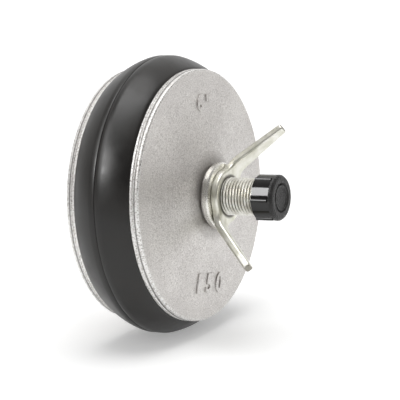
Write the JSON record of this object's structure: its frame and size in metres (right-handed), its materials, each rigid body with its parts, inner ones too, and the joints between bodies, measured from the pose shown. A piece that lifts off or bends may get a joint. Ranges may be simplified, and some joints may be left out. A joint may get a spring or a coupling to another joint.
{
  "type": "pipe expansion plug",
  "caption": "Drain test plug: a wing nut on a hollow threaded spindle draws dished plates together and swells a rubber ring against the pipe wall, with a capped outlet.",
  "frame": {"origin": "on the spindle's axis at the outer face of the rear lock nut, where the plug stands", "axes": "+Z along the spindle from the lock nut to the cap; the wings of the nut lie near the X axis, and +Y points away from the side that the picture shows"},
  "size_m": [0.1552, 0.1552, 0.1164],
  "materials": {
    "zinc_plate": "bright zinc plate",
    "wing_zinc": "pale yellow zinc plate",
    "cast_alloy": "fine sand-cast skin",
    "ring_rubber": "satin moulded rubber",
    "gasket_rubber": "matt sheet rubber",
    "cap_plastic": "glossy moulded plastic"
  },
  "bodies": {
    "root": {"spindle": "zinc_plate", "rear_lock_nut": "zinc_plate", "inner_lock_nut": "zinc_plate", "rear_washer": "zinc_plate", "rear_gasket": "gasket_rubber", "rear_plate": "cast_alloy", "seal_ring": "ring_rubber"},
    "front_plate_body": {"front_plate": "cast_alloy", "thrust_washer": "zinc_plate"},
    "wing_nut_body": {"wing_nut": "wing_zinc"},
    "cap_lift_body": {"cap_seal": "gasket_rubber"},
    "cap_body": {"outlet_cap": "cap_plastic"}
  },
  "joints": [
    {"name": "plate_slide", "type": "slide", "parent": "root", "child": "front_plate_body", "axis": [0, 0, 1], "range_m": [-0.003, 0.008], "deforming": ["seal_ring"]},
    {"name": "nut_turn", "type": "hinge", "parent": "front_plate_body", "child": "wing_nut_body", "pos_m": [0, 0, 0.0822], "axis": [0, 0, 1], "range_deg": [-595.47, 1587.75]},
    {"name": "cap_lift", "type": "slide", "parent": "root", "child": "cap_lift_body", "axis": [0, 0, 1], "range_m": [0, 0.009]},
    {"name": "cap_turn", "type": "hinge", "parent": "cap_lift_body", "child": "cap_body", "pos_m": [0, 0, 0.11], "axis": [0, 0, 1], "range_deg": [0, 1786.21]}
  ],
  "couplings": [
    {"joint": "nut_turn", "follows": "plate_slide", "rad_per_m": 3463.7},
    {"joint": "cap_turn", "follows": "cap_lift", "rad_per_m": 3463.7}
  ]
}
